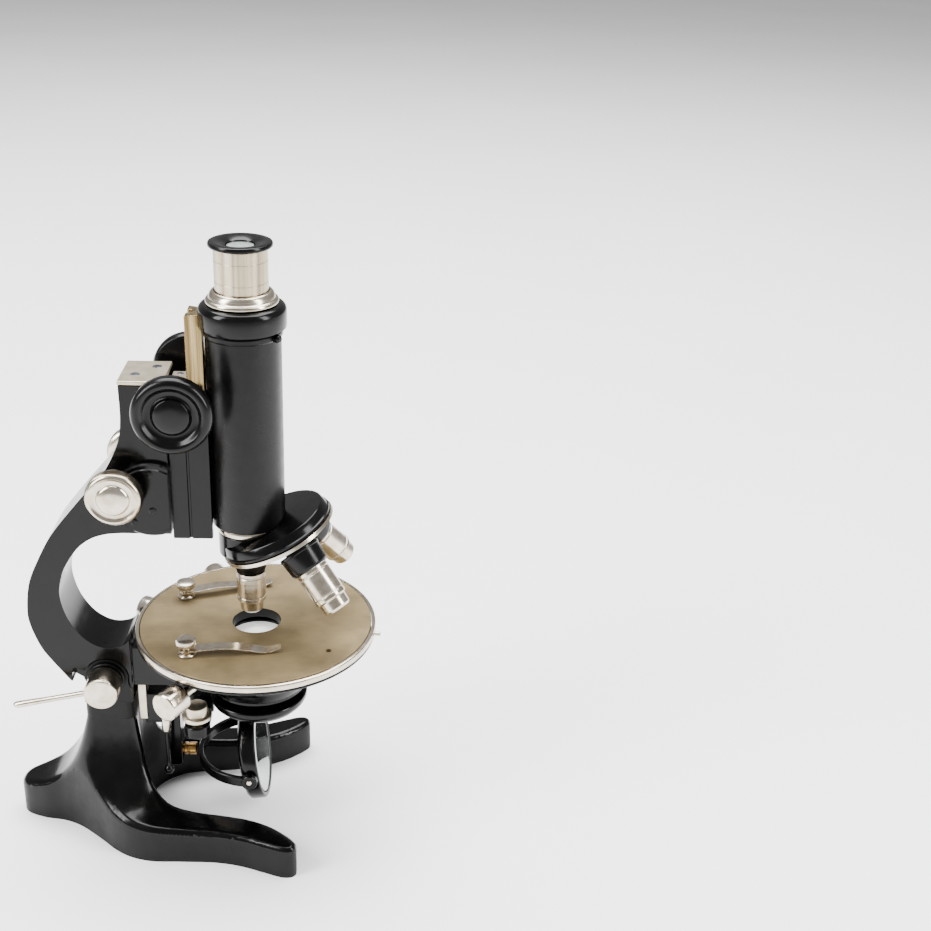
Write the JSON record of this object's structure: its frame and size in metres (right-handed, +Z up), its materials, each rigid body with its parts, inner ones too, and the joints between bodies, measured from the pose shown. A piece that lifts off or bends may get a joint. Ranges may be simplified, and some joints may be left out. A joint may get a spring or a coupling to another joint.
{
  "type": "compound microscope",
  "caption": "Black and nickel compound microscope with inclining C-shaped limb, horseshoe foot, revolving nosepiece, round stage, condenser and mirror.",
  "frame": {"origin": "bottom centre of the bounding box, on the table under the foot", "axes": "+Z up along the optical axis at rest, +X from the limb towards the free side of the stage, +Y across the stage"},
  "size_m": [0.1926, 0.1344, 0.3185],
  "materials": {
    "enamel": "gloss",
    "nickel": "polished",
    "bronzed_brass": "matt",
    "brass": "satin",
    "steel": "satin",
    "ebonite": "gloss",
    "glass": "clear",
    "silvered_glass": "polished"
  },
  "bodies": {
    "foot": {"foot_pillar": "enamel", "inclination_pin": "steel", "pivot_cap": "nickel"},
    "pivot_clamp": {"clamp_knob": "nickel", "clamp_lever": "nickel"},
    "limb": {"limb": "enamel", "head_plate": "nickel", "fine_cover_near": "enamel", "fine_cover_far": "enamel", "stage_bearing": "enamel", "stage_bracket": "enamel", "substage_rail": "nickel", "tailpiece": "enamel"},
    "fine_screw": {"fine_spindle": "steel", "fine_knob_near": "nickel", "fine_knob_far": "nickel"},
    "fine_block": {"guide_block": "enamel", "guide_plate": "steel"},
    "coarse_pinion": {"coarse_pinion": "steel", "coarse_knob_near": "ebonite", "coarse_knob_far": "ebonite"},
    "tube": {"slide_bar": "nickel", "rack": "brass", "body_tube": "enamel", "tube_collar": "enamel", "tube_bush": "nickel", "nose_ring": "nickel", "nose_plate": "enamel"},
    "draw_tube": {"draw_tube": "nickel"},
    "eyepiece": {"eyepiece": "ebonite", "eye_lens": "glass", "field_lens": "glass"},
    "turret": {"turret_dish": "enamel", "turret_rim": "nickel", "turret_screw": "nickel", "objective_1": "nickel", "objective_1_lens": "glass", "objective_2": "nickel", "objective_2_lens": "glass", "objective_3": "nickel", "objective_3_lens": "glass"},
    "stage": {"stage_plate": "bronzed_brass", "stage_rim": "nickel", "stage_stop": "nickel"},
    "clip_near": {"clip_post_near": "nickel", "clip_spring_near": "nickel"},
    "clip_far": {"clip_post_far": "nickel", "clip_spring_far": "nickel"},
    "centring_near": {"centring_screw_near": "nickel"},
    "centring_far": {"centring_screw_far": "nickel"},
    "stage_clamp": {"stage_clamp_screw": "nickel"},
    "substage": {"condenser_mount": "enamel", "condenser": "ebonite", "condenser_lens": "glass"},
    "substage_knob": {"substage_knob": "nickel"},
    "substage_lever": {"substage_lever": "nickel"},
    "mirror_fork": {"mirror_pin": "brass", "mirror_fork": "enamel"},
    "mirror": {"mirror_cell": "enamel", "mirror_glass": "silvered_glass"}
  },
  "joints": [
    {"name": "inclination", "type": "hinge", "parent": "foot", "child": "limb", "pos_m": [-0.04358, -0.00302, 0.0915], "axis": [0, -1, 0], "range_deg": [0, 30]},
    {"name": "pivot_clamp_turn", "type": "hinge", "parent": "foot", "child": "pivot_clamp", "pos_m": [-0.04358, -0.02822, 0.0915], "axis": [0, 1, 0], "range_deg": [-30, 30]},
    {"name": "fine_focus", "type": "slide", "parent": "limb", "child": "fine_block", "axis": [0, 0, 1], "range_m": [-0.001, 0.001]},
    {"name": "fine_screw_turn", "type": "hinge", "parent": "limb", "child": "fine_screw", "pos_m": [-0.02978, -0.00302, 0.2005], "axis": [0, 1, 0], "range_deg": [-721, 721]},
    {"name": "coarse_focus", "type": "slide", "parent": "fine_block", "child": "tube", "axis": [0, 0, 1], "range_m": [-0.0005, 0.04]},
    {"name": "coarse_pinion_turn", "type": "hinge", "parent": "fine_block", "child": "coarse_pinion", "pos_m": [0.00012, -0.00302, 0.2448], "axis": [0, 1, 0], "range_deg": [-770, 60]},
    {"name": "draw_out", "type": "slide", "parent": "tube", "child": "draw_tube", "axis": [0, 0, 1], "range_m": [-0.015, 0.045]},
    {"name": "eyepiece_out", "type": "slide", "parent": "draw_tube", "child": "eyepiece", "axis": [0, 0, 1], "range_m": [0, 0.035]},
    {"name": "turret_turn", "type": "hinge", "parent": "tube", "child": "turret", "pos_m": [0.04472, -0.00302, 0.169], "axis": [-0.4242, 0, 0.9056], "continuous": true},
    {"name": "stage_turn", "type": "hinge", "parent": "limb", "child": "stage", "pos_m": [0.03212, -0.00302, 0.1184], "axis": [0, 0, 1], "continuous": true},
    {"name": "clip_near_swing", "type": "hinge", "parent": "stage", "child": "clip_near", "pos_m": [0.00119, -0.03653, 0.1184], "axis": [0, 0, 1], "range_deg": [-50, 20]},
    {"name": "clip_far_swing", "type": "hinge", "parent": "stage", "child": "clip_far", "pos_m": [-0.00725, 0.01999, 0.1184], "axis": [0, 0, 1], "range_deg": [-20, 50]},
    {"name": "centring_near_turn", "type": "hinge", "parent": "limb", "child": "centring_near", "pos_m": [0.03212, -0.00302, 0.1056], "axis": [-0.5373, -0.8434, 0], "range_deg": [-180, 180]},
    {"name": "centring_far_turn", "type": "hinge", "parent": "limb", "child": "centring_far", "pos_m": [0.03212, -0.00302, 0.1056], "axis": [-0.8949, 0.4462, 0], "range_deg": [-180, 180]},
    {"name": "stage_clamp_turn", "type": "hinge", "parent": "limb", "child": "stage_clamp", "pos_m": [0.03212, -0.00302, 0.1079], "axis": [-0.4179, 0.9085, 0], "range_deg": [-180, 180]},
    {"name": "substage_focus", "type": "slide", "parent": "limb", "child": "substage", "axis": [0, 0, 1], "range_m": [0, 0.003]},
    {"name": "substage_knob_turn", "type": "hinge", "parent": "substage", "child": "substage_knob", "pos_m": [0.00242, -0.02402, 0.076], "axis": [0, 0, 1], "range_deg": [-5, 1085]},
    {"name": "substage_lever_swing", "type": "hinge", "parent": "substage", "child": "substage_lever", "pos_m": [-0.01508, -0.01582, 0.064], "axis": [0, 1, 0], "range_deg": [-20, 8]},
    {"name": "mirror_swivel", "type": "hinge", "parent": "limb", "child": "mirror_fork", "pos_m": [0.02892, -0.00302, 0.0376], "axis": [1, 0, 0], "range_deg": [-60, 60]},
    {"name": "mirror_tilt", "type": "hinge", "parent": "mirror_fork", "child": "mirror", "pos_m": [0.02892, -0.00302, 0.0376], "axis": [0, 1, 0], "continuous": true}
  ],
  "couplings": [
    {"joint": "fine_screw_turn", "follows": "fine_focus", "rad_per_m": 12566},
    {"joint": "coarse_pinion_turn", "follows": "coarse_focus", "rad_per_m": -333.33},
    {"joint": "substage_knob_turn", "follows": "substage_focus", "rad_per_m": 6283.2}
  ]
}
